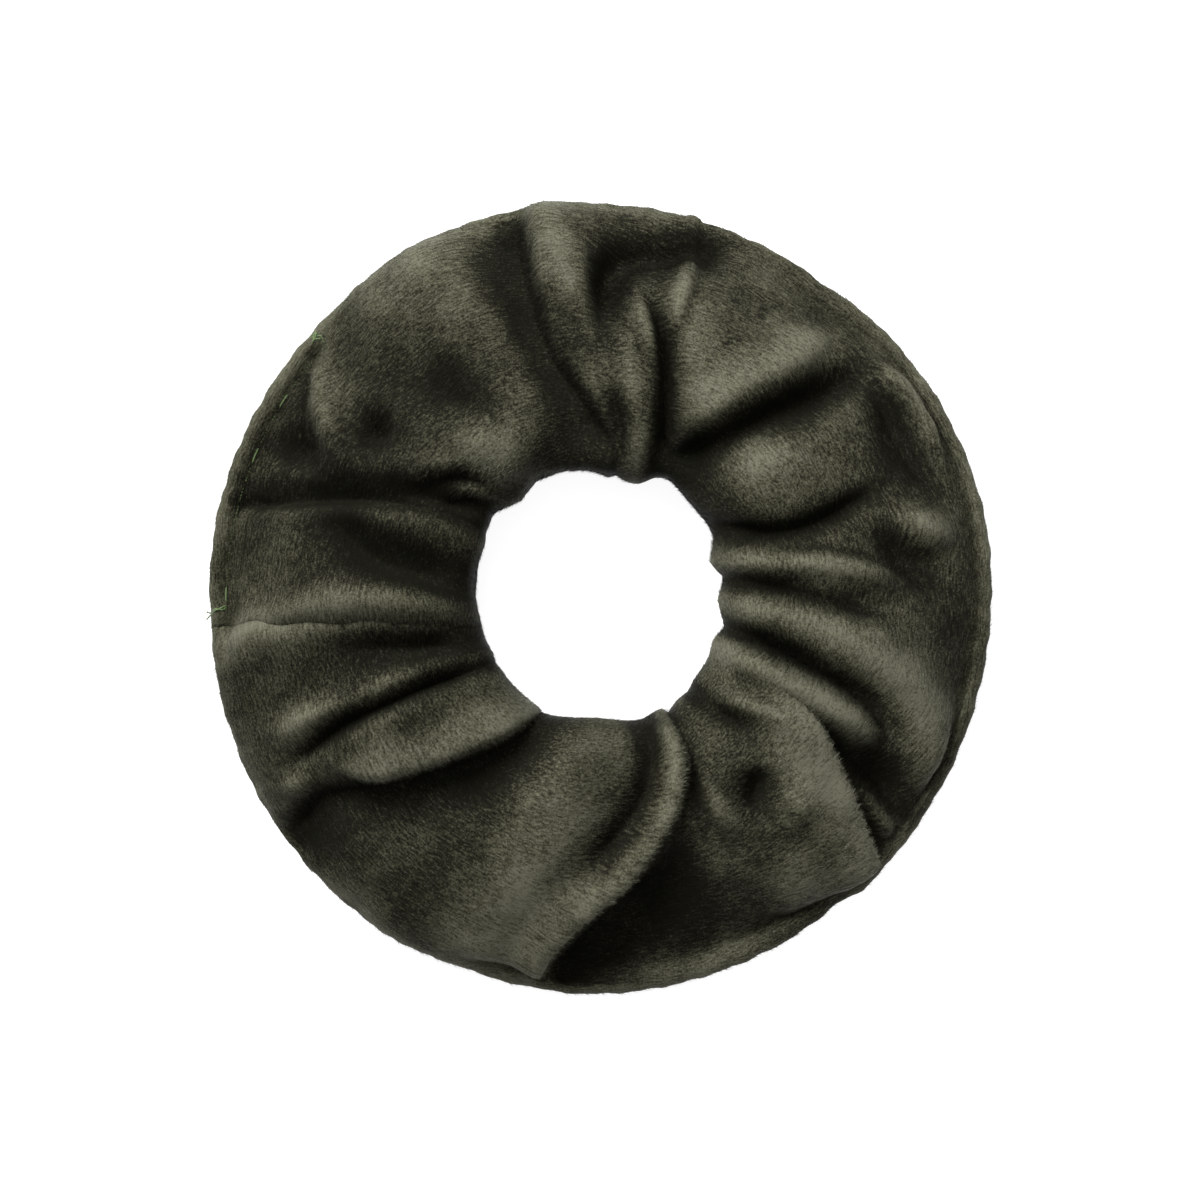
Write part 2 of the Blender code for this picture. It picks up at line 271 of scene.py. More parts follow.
coverFacts = {
    "stations": 520,
    "cloth": 0.9,
    "napTilt": 0.26,
    "pileShade": 0.41,  # of the cloth away from the painted crease shade, fold highlights and rim light
    "paintedCreaseShade": 0.85,  # how much darker the pile is painted in the bottom of a deep crease, a painted shade
    "paintedFoldHighlight": 0.46,  # how much lighter the pile is painted on the top of a high fold, a painted highlight
    "highlightSharpness": 1.7,  # above 1 the painted highlight keeps to the top of the fold
    "fullDepth": 3.5,  # the rise or depth at which the painted crease shade and fold highlight are nearly full
    # (radius, degrees) by which the cross seam leaves its straight line
    "seamBend": [(20, 9.5), (24, 6.5), (28, 3.6), (33, 2.4), (38, 0.6), (42, 1.2), (47, 0.2), (51, 0.6),
                 (55, -0.4), (60, 0.4), (63, 0.0)],
    "flapEnd": 57.5,
    "bareEdge": 3,
    # the steps by which a turned-in end runs on, as (sideways, below the cloth)
    "turnIn": [(0.10, 0.45), (0.5, 1.1), (1.6, 1.3), (3.0, 1.3), (4.8, 1.3)],
    "layLength": 0.27,  # of the strip, for the pile's streaks
    "layStep": 1.1 * mm,  # between places along the section
    # the strip's section in millimetres, as (radius, height), from the lower long edge to the upper one
    "underside": [
        (59.5, 5.4), (63.4, 5.4), (64.3, 4.9), (63.7, 4.0), (61.5, 3.7), (57.0, 1.8), (51.0, 0.6),
        (40.0, 0.45), (31.0, 0.45), (25.6, 1.4), (22.0, 5.0),
    ],
    "innerSide": [(20.7, 10.0), (21.6, 14.8), (25.8, 18.2), (33.0, 19.8), (42.0, 19.0)],
    "rimShown": [
        (50.0, 16.0), (57.0, 11.4), (61.0, 7.7), (63.3, 8.6), (64.7, 7.7),
        (64.5, 6.8), (63.5, 6.6), (59.5, 6.6),
    ],
    "rimNarrow": [
        (51.0, 15.8), (58.5, 11.6), (62.6, 7.9), (63.9, 8.5), (64.8, 7.6),
        (64.5, 6.8), (63.5, 6.6), (59.5, 6.6),
    ],
    "rimTucked": [
        (50.5, 17.4), (58.0, 15.0), (63.0, 11.8), (65.0, 8.8), (64.9, 7.5),
        (64.3, 6.8), (63.3, 6.6), (59.5, 6.6),
    ],
    "perSpan": [1, 2, 2, 2, 3, 3, 4, 4, 4, 4, 4, 5, 5, 7, 8, 8, 8, 6, 4, 3, 2, 2, 1],
}

# how much of the rim shows from above, round the ring
rimShows = [(0, 1), (45, 1), (58, 0.9), (70, 0.25), (80, 0), (128, 0), (139, 1), (183, 1), (190, 0.35),
            (206, 0), (240, 0), (254, 0.8), (265, 1), (305, 1), (314, 0.9), (350, 1)]
# where the shown rim is narrow
rimNarrows = [(0, 1), (38, 1), (52, 0), (300, 0), (318, 1)]
# the ring's edge and the hole's edge, in millimetres from a true circle
edgeSway = [(0, -0.2), (10, 0.2), (30, 0.1), (48, -0.3), (54, -0.9), (62, -0.5), (75, -0.3), (90, 0.2),
            (105, 0.8), (120, 0.2), (135, 0.2), (150, 0.1), (170, 0), (184, -0.4), (200, -0.4),
            (215, -0.1), (235, 0.2),
            (250, 0), (268, 0.4), (285, -0.2), (300, -0.6), (308, -1.2), (312, -0.2), (325, -0.6),
            (345, -0.5)]
holeSway = [(0, -0.2), (12, 0.6), (19, -0.3), (28, 1.0), (45, 1.0), (60, 1.4), (72, 0.2), (82, 0.2),
            (86, -0.6), (95, 0.6), (104, 1.4), (118, 2.2), (128, 1.0), (140, 2.0), (152, 0.8), (172, 0.0),
            (186, -0.4), (200, -0.2), (216, 0.2), (232, 0.4), (250, 0.2), (268, -0.3), (285, 0.6), (300, 1.4),
            (318, 0.2), (333, 0.6), (348, 0.6)]

# folds of the gathered cloth. A rise below 0 is a crease. soft and steep are the widths to the left and the
# right of the line, lean pushes the fold over to its right, all in millimetres
folds = [
    # the big lobe at the upper left and the crease that ends it
    {"line": [(102.5, 67), (102.5, 54), (101, 43), (95, 34), (86, 25), (83, 18)], "rise": -7.0, "soft": 1.3,
     "steep": 7.0},
    {"line": [(117, 62), (109, 45), (103, 24)], "rise": 3.0, "soft": 8.0, "steep": 9.0, "lean": 1.0},
    {"line": [(136, 56), (125, 41), (114, 32)], "rise": -1.2, "soft": 5.0, "steep": 4.0},
    {"line": [(133, 38), (124, 29), (116, 22)], "rise": 2.6, "soft": 6.0, "steep": 7.0},
    {"line": [(99.5, 65), (99.5, 54), (98, 46)], "rise": 2.0, "soft": 2.4, "steep": 1.2},
    {"line": [(94, 60), (93, 50), (92, 40)], "rise": 2.4, "soft": 2.4, "steep": 1.6},
    # dimples at the left
    {"line": [(151, 59), (150, 56)], "rise": -2.2, "soft": 2.6, "steep": 2.6},
    {"line": [(146, 49), (143, 46), (141, 43)], "rise": -5.5, "soft": 3.2, "steep": 3.0},
    {"line": [(150, 58), (154, 56), (158, 55)], "rise": -5.0, "soft": 3.2, "steep": 3.2},
    {"line": [(139, 61), (143, 57), (148, 52), (153, 46)], "rise": 2.6, "soft": 1.8, "steep": 1.8},
    {"line": [(139, 63), (144, 60), (149, 58)], "rise": -1.8, "soft": 1.2, "steep": 1.2},
    {"line": [(163, 63), (162, 55)], "rise": 1.8, "soft": 2.2, "steep": 1.8},
    # the left crease with the small wrinkles at its inner end
    {"line": [(165, 62), (161, 52), (157, 43), (152, 31), (146, 18)], "rise": -5.4, "soft": 4.0, "steep": 1.5},
    {"line": [(154, 38), (151, 30), (145, 20)], "rise": 2.8, "soft": 1.3, "steep": 2.4},
    {"line": [(146, 33), (139, 30.5), (134, 25)], "rise": -2.6, "soft": 1.5, "steep": 1.3},
    {"line": [(143.5, 30), (138, 27.5), (135, 24)], "rise": 2.2, "soft": 1.1, "steep": 1.1},
    {"line": [(149, 28.5), (143, 26), (138, 22.5)], "rise": -2.2, "soft": 1.2, "steep": 1.1},
    {"line": [(148, 37), (141, 35), (134, 31)], "rise": 1.6, "soft": 1.6, "steep": 1.2},
    {"line": [(162, 49), (169, 38), (172, 30), (178, 19)], "rise": -4.0, "soft": 4.6, "steep": 3.6},
    # the bright ridge over the cross seam, and the folds below it
    {"line": [(187, 62), (181.5, 46), (180, 33), (186, 18)], "rise": 3.2, "soft": 3.5, "steep": 5.0},
    {"line": [(190, 44), (194, 32), (200, 18)], "rise": -3.4, "soft": 3.0, "steep": 3.6},
    {"line": [(203, 60), (202, 49), (203, 41), (202, 30), (209, 18)], "rise": 3.4, "soft": 1.8, "steep": 5.5},
    {"line": [(208, 56), (206, 47), (206, 38), (207, 30), (212, 18)], "rise": -5.0, "soft": 2.2, "steep": 1.5},
    {"line": [(210, 51), (217, 45), (225, 33), (233, 25), (238, 18)], "rise": 4.0, "soft": 4.6, "steep": 1.4,
     "lean": 1.6},
    {"line": [(217, 65), (215, 57), (219, 49), (228, 36), (238, 27), (245, 18)], "rise": -4.6, "soft": 1.6,
     "steep": 7.0},
    {"line": [(210, 60), (213, 56)], "rise": 2.0, "soft": 1.8, "steep": 1.6},
    # the wide smooth part at the lower left and the bright lobe beside it
    {"line": [(251, 62), (256, 47), (258, 34), (255, 18)], "rise": 4.0, "soft": 8.0, "steep": 9.0},
    {"line": [(259, 64), (260, 56), (266, 49), (274, 44), (283, 38), (290, 33), (295, 28), (294, 20)],
     "rise": 4.6, "soft": 2.4, "steep": 1.5, "lean": 1.6},
    {"line": [(266, 44), (275, 38), (283, 32), (288, 26), (288, 18)], "rise": -3.6, "soft": 2.4, "steep": 1.8},
    {"line": [(264, 62), (271, 54), (281, 47), (291, 42)], "rise": -5.4, "soft": 2.0, "steep": 9.0},
    {"line": [(296, 40), (299, 30), (302, 18)], "rise": -5.0, "soft": 2.0, "steep": 2.2},
    # the lobe at the lower right with its hollows
    {"line": [(306, 18), (300, 31), (300, 40), (303, 46)], "rise": 3.4, "soft": 2.4, "steep": 2.6},
    {"line": [(314, 37), (309, 40), (305, 43)], "rise": -4.0, "soft": 2.0, "steep": 2.2},
    {"line": [(317, 42), (311, 46), (306, 46)], "rise": 2.4, "soft": 2.2, "steep": 1.6},
    {"line": [(315, 21), (317, 26), (319, 34)], "rise": -3.0, "soft": 1.9, "steep": 1.9},
    {"line": [(317, 22), (324, 30), (324, 38), (319, 39)], "rise": 2.6, "soft": 1.8, "steep": 1.8},
    {"line": [(333, 30), (327, 39), (321, 47), (317, 54), (314, 60), (311, 66)], "rise": 5.4, "soft": 1.3,
     "steep": 8.0, "lean": -2.4},
    {"line": [(300, 60), (307, 54), (312, 48)], "rise": 2.4, "soft": 8.0, "steep": 7.0},
    {"line": [(332, 40), (325, 48), (321, 55), (318, 61)], "rise": -4.6, "soft": 2.4, "steep": 1.6},
    {"line": [(329, 47), (327, 56), (325, 62)], "rise": -6.5, "soft": 3.8, "steep": 3.0},
    {"line": [(325, 52), (321, 61)], "rise": 3.0, "soft": 1.5, "steep": 1.5},
    # the long folds at the right
    {"line": [(340, 20), (337, 32), (335, 42), (333, 52)], "rise": 5.6, "soft": 3.2, "steep": 3.0},
    {"line": [(348, 18), (344, 30), (341, 39), (339, 46), (334, 53)], "rise": -6.4, "soft": 2.2, "steep": 1.5},
    {"line": [(2, 18), (356, 32), (349, 44), (342, 54), (334, 60), (325, 63)], "rise": 4.8, "soft": 4.4,
     "steep": 4.6},
    {"line": [(12, 18), (4, 28), (359, 38), (356, 46)], "rise": -4.0, "soft": 1.8, "steep": 2.0},
    {"line": [(20, 18), (13, 30), (8, 40), (4, 50)], "rise": 4.0, "soft": 2.6, "steep": 2.4},
    {"line": [(17, 26), (12, 38), (6, 48), (2, 56)], "rise": -1.6, "soft": 1.2, "steep": 1.2},
    {"line": [(17, 47), (9, 50), (0, 56)], "rise": -4.4, "soft": 3.4, "steep": 3.0},
    {"line": [(18, 49), (11, 55), (8, 57)], "rise": 4.6, "soft": 3.0, "steep": 2.6},
    # the round lobe at the upper right, the crease below it and the band above it
    {"line": [(46, 26), (40, 34), (34, 44)], "rise": 4.0, "soft": 7.5, "steep": 7.5},
    {"line": [(48, 20), (30, 23), (21, 30), (20, 38), (22, 50)], "rise": -4.4, "soft": 1.8, "steep": 1.8},
    {"line": [(36, 54), (26, 56), (18, 57)], "rise": -3.0, "soft": 3.0, "steep": 3.5},
    {"line": [(44, 59), (34, 60), (24, 60.5), (19, 60.5)], "rise": 5.0, "soft": 1.6, "steep": 1.4},
    {"line": [(41, 56.5), (34, 57.5), (24, 58), (17, 58)], "rise": -3.0, "soft": 1.6, "steep": 1.6},
    {"line": [(62, 18), (58, 28), (51, 36), (46, 45), (43, 53), (40, 60)], "rise": -6.4, "soft": 2.2,
     "steep": 3.0},
    {"line": [(66, 30), (60, 38), (53, 48), (49, 58)], "rise": 3.8, "soft": 7.0, "steep": 3.0, "lean": 0.8},
    # the top: a sharp crease, a deep hollow and its ridges
    {"line": [(63.5, 18), (70, 30), (74, 39), (77, 44), (82, 51)], "rise": -6.0, "soft": 1.5, "steep": 1.7},
    {"line": [(70, 36), (71, 47), (69, 56)], "rise": 2.4, "soft": 2.6, "steep": 6.0},
    {"line": [(75, 62), (82, 59.5), (88, 56), (90, 49), (89, 43)], "rise": -8.0, "soft": 4.0, "steep": 2.4},
    {"line": [(82, 57), (77, 58), (73, 59)], "rise": -2.2, "soft": 3.0, "steep": 2.4},
    {"line": [(84, 52), (80, 45), (76, 38)], "rise": 3.4, "soft": 1.6, "steep": 2.0},
    {"line": [(75.5, 66), (75, 56), (75, 46), (73, 41)], "rise": 3.4, "soft": 1.4, "steep": 2.4},
    {"line": [(98, 62), (96, 52), (94, 44)], "rise": 3.0, "soft": 4.4, "steep": 3.0},
    {"line": [(91, 34), (85, 24), (81, 18)], "rise": 2.6, "soft": 1.8, "steep": 1.6},
    {"line": [(88, 36), (83, 28), (80, 22)], "rise": -3.0, "soft": 2.0, "steep": 1.8},
    {"line": [(86, 46), (82, 36), (76, 26), (73, 18)], "rise": 2.0, "soft": 2.2, "steep": 2.4},
]


def sectionLine(rim):
    keys = coverFacts["underside"] + coverFacts["innerSide"] + coverFacts[rim]
    keys = [(r, 0, z) for r, z in keys]
    fine = throughPoints(keys, 12)
    line = []
    for span, steps in enumerate(coverFacts["perSpan"]):
        line += [fine[span * 12 + round(i * 12 / steps)] for i in range(steps)]
    line.append(fine[-1])
    return line


def foldShape(x, y, fold):
    # how strongly each point lies on a fold, and the direction to the fold's right
    line = throughPoints([polar(*p) / mm for p in fold["line"]], 5)
    pts = np.array([(p.x, p.y) for p in line])
    best = np.full(x.shape, 1e9)
    side = np.zeros(x.shape)
    along = np.zeros(x.shape)
    rightX = np.zeros(x.shape)
    rightY = np.zeros(x.shape)
    lengths = np.hypot(*np.diff(pts, axis=0).T)
    starts = np.concatenate([[0], np.cumsum(lengths)])
    for i, length in enumerate(lengths):
        ax, ay = pts[i]
        dx, dy = (pts[i + 1] - pts[i]) / length
        t = np.clip((x - ax) * dx + (y - ay) * dy, 0, length)
        offX = x - ax - t * dx
        offY = y - ay - t * dy
        far = np.hypot(offX, offY)
        closer = far < best
        best = np.where(closer, far, best)
        side = np.where(closer, dx * (y - ay) - dy * (x - ax), side)
        along = np.where(closer, starts[i] + t, along)
        rightX = np.where(closer, dy, rightX)
        rightY = np.where(closer, -dx, rightY)
    width = np.where(side > 0, fold["soft"], fold["steep"])
    fade = min(9.0, starts[-1] * 0.45)
    ends = np.ones(x.shape)
    for endPoint, reach in ((fold["line"][0], along), (fold["line"][-1], starts[-1] - along)):
        if 21 < endPoint[1] < 61:  # folds that don't run off the cloth's edge die out
            ends *= smoothStep(reach, -0.3 * fade, fade)
    return np.exp(-(best / width) ** 1.7) * ends, rightX, rightY


def coverGrid():
    # the spun section as a grid of points, stations by places along the section
    shown = sectionLine("rimShown")
    tucked = sectionLine("rimTucked")
    bm = bmesh.new()
    row = [bm.verts.new(p * mm) for p in shown]
    for a, b in zip(row, row[1:]):
        bm.edges.new((a, b))
    bmesh.ops.rotate(bm, verts=bm.verts, matrix=Matrix.Rotation(seamAngle, 3, "Z"))
    bmesh.ops.spin(bm, geom=list(bm.verts) + list(bm.edges), axis=(0, 0, 1), cent=(0, 0, 0),
                   angle=math.tau, steps=coverFacts["stations"], use_merge=False)
    changes = [np.array([((b - a).x, (b - a).z) for a, b in zip(shown, other)])
               for other in (tucked, sectionLine("rimNarrow"))]
    return bm, changes


def sectionsRound(sections, changes, degrees):
    # the section at every station, with its rim shown, narrow or tucked
    shows = aroundRing(rimShows, degrees)[:, None]
    narrow = aroundRing(rimNarrows, degrees)[:, None]
    radius = np.hypot(sections[0, :, 0], sections[0, :, 1])[None, :]
    height = sections[:, :, 2]
    for share, change in zip((1 - shows, shows * narrow), changes):
        radius = radius + share * change[:, 0][None, :]
        height = height + share * change[:, 1][None, :]
    return radius, height, shows


def swayed(radius, turn, degrees):
    # the ring's edge and the hole's edge leave their circles, and the edge is finely scalloped
    outward = smoothStep(radius, 25, 60)
    edge = aroundRing(edgeSway, degrees)[:, None]
    hole = aroundRing(holeSway, degrees)[:, None]
    scallop = 0.10 * np.sin(turn * 47 + 3 * np.sin(turn * 5))
    scallop = scallop + 0.07 * np.sin(turn * 101 + 2 * np.sin(turn * 9))
    return radius + outward * (edge + scallop[:, None] * smoothStep(radius, 58, 64)) + (1 - outward) * hole


def layFolds(x, y, upperCloth):
    # how far the folds push and lean each point, and how much painted shade its crease and painted highlight
    # its fold gets
    push, leanX, leanY, paintedCreaseShade, paintedFoldHighlight = (np.zeros(x.shape) for _ in range(5))
    for fold in folds:
        shape, rightX, rightY = foldShape(x, y, fold)
        shape = shape * upperCloth
        push += fold["rise"] * shape
        strength = math.tanh(fold["rise"] / coverFacts["fullDepth"])
        # painted shade: the creases are darkened in the colour
        paintedCreaseShade = np.maximum(paintedCreaseShade, -strength * shape)
        # painted highlight: the tops of the folds are lightened in the colour
        paintedFoldHighlight = np.maximum(paintedFoldHighlight, strength * shape ** coverFacts["highlightSharpness"])
        leanX += fold.get("lean", 0) * shape * rightX
        leanY += fold.get("lean", 0) * shape * rightY
    return push, leanX, leanY, paintedCreaseShade, paintedFoldHighlight


def addUnevenness(x, y, height, direction, cloth):
    # small lumps along the cloth's own outward direction
    for station, place in np.ndindex(x.shape):
        if cloth[0, place]:
            at = Vector((x[station, place], y[station, place], height[station, place]))
            lump = noise.noise(at / 7.0) * 0.55 + noise.noise(at / 3.0) * 0.18
            lump *= min(1.0, max(0.0, (at.z - 0.6) / 3))
            x[station, place] += lump * direction[station, place, 0]
            y[station, place] += lump * direction[station, place, 1]
            height[station, place] += lump * direction[station, place, 2]


def pileShade(radius, push, paintedCreaseShade, paintedFoldHighlight):
    # the pile's tone with painted light and shade: painted shade in the creases, painted highlights on the
    # folds, a painted rim light, and lighter where the folds push the cloth up
    facts = coverFacts
    # painted rim light: lighter towards the outer edge and lightest on the rim
    shade = facts["pileShade"] + 0.10 * smoothStep(radius, 59, 63) + 0.25 * smoothStep(radius, 63.4, 64.6)
    # painted light and shade from the relief: lighter where the folds push up, darker where they sink, then
    # the painted fold highlights and crease shade
    shade = shade + 0.02 * push + facts["paintedFoldHighlight"] * paintedFoldHighlight - facts["paintedCreaseShade"] * paintedCreaseShade
    return np.clip(shade, 0.05, 1)


def shapeCover(bm, changes):
    stations = coverFacts["stations"] + 1
    perRow = len(changes[0])
    sections = (np.array([v.co for v in bm.verts]) / mm).reshape(stations, perRow, 3)
    turn = seamAngle + np.linspace(0, math.tau, stations)
    degrees = np.degrees(turn) % 360
    radius, height, shows = sectionsRound(sections, changes, degrees)
    radius = swayed(radius, turn, degrees)

    # the section's outward direction, for folds that go round the inner side
    dr = np.gradient(radius, axis=1)
    dz = np.gradient(height, axis=1)
    size = np.hypot(dr, dz)
    normalR = -dz / size
    normalZ = dr / size
    fromSeam = np.minimum(turn - seamAngle, seamAngle + math.tau - turn)[:, None] * radius
    bend = np.interp(radius, *np.array(coverFacts["seamBend"]).T) * np.exp(-(fromSeam / 9) ** 2)
    cosT = np.cos(turn[:, None] + np.radians(bend))
    sinT = np.sin(turn[:, None] + np.radians(bend))
    direction = np.stack([normalR * cosT, normalR * sinT, normalZ], axis=2)
    x = radius * cosT
    y = radius * sinT

    index = np.arange(perRow)[None, :]
    flapStart = sum(coverFacts["perSpan"][:3])
    flapEnd = perRow - sum(coverFacts["perSpan"][-4:])
    cloth = ((index > flapStart) & (index < flapEnd)).astype(float)
    topPart = smoothStep(height, 3, 12)
    insideRim = 1 - smoothStep(radius, 58.5, 62.5) * shows - smoothStep(radius, 62, 66) * (1 - shows) * 0.6
    push, leanX, leanY, paintedCreaseShade, paintedFoldHighlight = layFolds(x, y, topPart * cloth)
    push = push * insideRim
    push = np.where(push < 0, 9 * np.tanh(push / 9), 8 * np.tanh(push / 8))
    push = push * (1 - 0.84 * (1 - smoothStep(radius, 21, 28)))
    x = x + push * direction[:, :, 0] + leanX * insideRim
    y = y + push * direction[:, :, 1] + leanY * insideRim
    height = height + push * normalZ
    print("folds laid", len(folds), "push", round(float(push.min()), 2), round(float(push.max()), 2))

    addUnevenness(x, y, height, direction, cloth)
    height = np.maximum(height, coverFacts["cloth"] / 2)
    # the two ends roll down into the cross seam
    dip = np.exp(-(fromSeam / 1.1) ** 1.3) * 1.5 * topPart * cloth
    height = height - dip * np.maximum(normalZ, 0)

    for vert, at in zip(bm.verts, np.stack([x, y, height], axis=2).reshape(-1, 3) * mm):
        vert.co = at
    nap = coverFacts["napTilt"] * np.stack([-sinT, cosT, np.zeros(x.shape)], axis=2)
    return pileShade(radius, push, paintedCreaseShade, paintedFoldHighlight), nap, direction


def turnInEnd(bm, end, step, places, clothAt, outward):
    # an end of the strip folds under, and its allowance follows the cloth from below
    perRow = outward.shape[1]
    spacing = math.tau / coverFacts["stations"]
    placeOf = {bm.verts[end * perRow + place]: place for place in places}
    edges = [e for v in placeOf for e in v.link_edges if e.is_boundary and e.other_vert(v) in placeOf]
    turned = []
    for sideways, below in coverFacts["turnIn"]:
        made = bmesh.ops.extrude_edge_only(bm, edges=list(dict.fromkeys(edges)))["geom"]
        edges = [g for g in made if isinstance(g, bmesh.types.BMEdge)]
        placeOfNew = {}
        for vert in [g for g in made if isinstance(g, bmesh.types.BMVert)]:
            source = next(e.other_vert(vert) for e in vert.link_edges if e.other_vert(vert) in placeOf)
            placeOfNew[vert] = placeOf[source]
        placeOf = placeOfNew
        for vert, place in placeOf.items():
            stepsAway = sideways * mm / (clothAt[end * perRow + place].xy.length * spacing)
            here = end + step * int(stepsAway)
            near = clothAt[here * perRow + place]
            far = clothAt[(here + step) * perRow + place]
            vert.co = near.lerp(far, stepsAway % 1) - Vector(outward[here, place]) * below * mm
        turned += sorted(placeOf, key=placeOf.get)
    return turned


def buildCover():
    bm, changes = coverGrid()
    bm.verts.ensure_lookup_table()
    shade, nap, outward = shapeCover(bm, changes)
    perRow = shade.shape[1]
    ends = []
    turnedIn = []
    across = Vector((-math.sin(seamAngle), math.cos(seamAngle), 0))
    clothAt = [vert.co.copy() for vert in bm.verts]
    for station, step in ((0, 1), (len(shade) - 1, -1)):
        bm.verts.ensure_lookup_table()
        inside = [place for place in range(perRow)
                  if clothAt[station * perRow + place].xy.length < coverFacts["flapEnd"] * mm]
        ends.append([(clothAt[station * perRow + place], Vector(outward[station, place]), across * step)
                     for place in inside])
        turnedIn += turnInEnd(bm, station, step, inside, clothAt, outward)
    extra = len(bm.verts) - shade.size
    bm.verts.index_update()
    for place, vert in enumerate(turnedIn):
        vert.index = shade.size + place
    bm.verts.sort()
    sortByCorners(bm)
    lay = bm.loops.layers.uv.new("lay")
    bm.verts.index_update()
    for face in bm.faces:
        for loop in face.loops:
            station, place = divmod(loop.vert.index, perRow)
            along = station / coverFacts["stations"] * coverFacts["layLength"]
            loop[lay].uv = (along, place * coverFacts["layStep"])
    piece = newPiece("velvet_cover_cloth", bm, oliveVelvet)
    heights = np.array([v.co.z for v in piece.data.vertices])[:shade.size].reshape(shade.shape) / mm
    hairs = smoothStep(heights, 1.5, 3) * (0.5 + 0.5 * smoothStep(heights, 4, 8))
    hairs[:, :coverFacts["bareEdge"]] = 0
    hairs[:, -coverFacts["bareEdge"]:] = 0

    def keep(name, kind, field, values, spare):
        made = piece.data.attributes.new(name, kind, "POINT")
        flat = np.concatenate([values.ravel(), np.full(extra * (3 if kind == "FLOAT_VECTOR" else 1), spare)])
        made.data.foreach_set(field, flat.astype(np.float32))

    # the pile attribute: the pile's tone with its painted crease shade, fold highlights and rim light
    keep("pile", "FLOAT", "value", shade, 0.35)
    keep("nap", "FLOAT_VECTOR", "vector", nap, 0.0)
    for quarter in range(4):
        mine = np.arange(len(shade))[:, None] * 4 // len(shade) == quarter
        keep(f"quarter{quarter + 1}", "FLOAT", "value", hairs * mine, 0.0)
    return piece, ends


coverPiece, seamEnds = buildCover()
wall = coverPiece.modifiers.new("clothThickness", "SOLIDIFY")
wall.thickness = coverFacts["cloth"] * mm
wall.offset = 0
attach(coverPiece, "cover")
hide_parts("velvet_cover")
print("cover built")


# the pile: short hairs lying over along the nap, in four quarters of the ring

pileFacts = {
    "perSquareMillimetre": 6.0,
    "length": 0.85 * mm,
    "thickness": 0.05 * mm,
    "rise": 0.34,
    "tangle": 0.42,
    "cloth": 0.4 * mm,
    "shortest": 0.45,  # of the length
    "longest": 1.1,
}


def pileTree(quarter):
    facts = pileFacts
    tree = bpy.data.node_groups.new(f"pileOfQuarter{quarter}", "GeometryNodeTree")
    tree.interface.new_socket("Geometry", in_out="INPUT", socket_type="NodeSocketGeometry")
    tree.interface.new_socket("Geometry", in_out="OUTPUT", socket_type="NodeSocketGeometry")

    def node(kind, **settings):
        made = tree.nodes.new(kind)
        for key, value in settings.items():
            setattr(made, key, value)
        return made

    def link(a, b):
        tree.links.new(a, b)

    start = node("NodeGroupInput")
    end = node("NodeGroupOutput")
    density = node("GeometryNodeInputNamedAttribute", data_type="FLOAT")
    density.inputs["Name"].default_value = f"quarter{quarter}"
    many = node("ShaderNodeMath", operation="MULTIPLY")
    many.inputs[1].default_value = facts["perSquareMillimetre"] * 1e6
    link(density.outputs["Attribute"], many.inputs[0])
    spread = node("GeometryNodeDistributePointsOnFaces")
    spread.inputs["Seed"].default_value = quarter
    link(start.outputs[0], spread.inputs["Mesh"])
    link(many.outputs[0], spread.inputs["Density"])

    nap = node("GeometryNodeInputNamedAttribute", data_type="FLOAT_VECTOR")
    nap.inputs["Name"].default_value = "nap"
    lay = node("ShaderNodeVectorMath", operation="NORMALIZE")
    link(nap.outputs["Attribute"], lay.inputs[0])
    upright = node("ShaderNodeVectorMath", operation="SCALE")
    upright.inputs["Scale"].default_value = facts["rise"]
    link(spread.outputs["Normal"], upright.inputs[0])
    stray = node("FunctionNodeRandomValue", data_type="FLOAT_VECTOR")
    stray.inputs["Min"].default_value = (-facts["tangle"],) * 3
    stray.inputs["Max"].default_value = (facts["tangle"],) * 3
    first = node("ShaderNodeVectorMath", operation="ADD")
    link(lay.outputs[0], first.inputs[0])
    link(upright.outputs[0], first.inputs[1])
    second = node("ShaderNodeVectorMath", operation="ADD")
    link(first.outputs[0], second.inputs[0])
    link(stray.outputs["Value"], second.inputs[1])
    aim = node("FunctionNodeAlignEulerToVector", axis="Z")
    link(second.outputs[0], aim.inputs["Vector"])

    hair = node("GeometryNodeMeshCone", fill_type="NGON")
    hair.inputs["Vertices"].default_value = 3
    hair.inputs["Radius Top"].default_value = 0.0
    hair.inputs["Radius Bottom"].default_value = facts["thickness"]
    hair.inputs["Depth"].default_value = facts["length"]
    size = node("FunctionNodeRandomValue", data_type="FLOAT")
    size.inputs[2].default_value = facts["shortest"]
    size.inputs[3].default_value = facts["longest"]
    lift = node("ShaderNodeVectorMath", operation="SCALE")
    lift.inputs["Scale"].default_value = facts["cloth"]
    link(spread.outputs["Normal"], lift.inputs[0])
    raised = node("GeometryNodeSetPosition")
    link(spread.outputs["Points"], raised.inputs["Geometry"])
    link(lift.outputs[0], raised.inputs["Offset"])
    plant = node("GeometryNodeInstanceOnPoints")
    link(raised.outputs[0], plant.inputs["Points"])
    link(hair.outputs["Mesh"], plant.inputs["Instance"])
    link(aim.outputs["Rotation"], plant.inputs["Rotation"])
    link(size.outputs[1], plant.inputs["Scale"])
    real = node("GeometryNodeRealizeInstances")
    link(plant.outputs[0], real.inputs[0])
    paint = node("GeometryNodeSetMaterial")
    paint.inputs["Material"].default_value = oliveFibre
    link(real.outputs[0], paint.inputs["Geometry"])
    link(paint.outputs[0], end.inputs[0])
    return tree


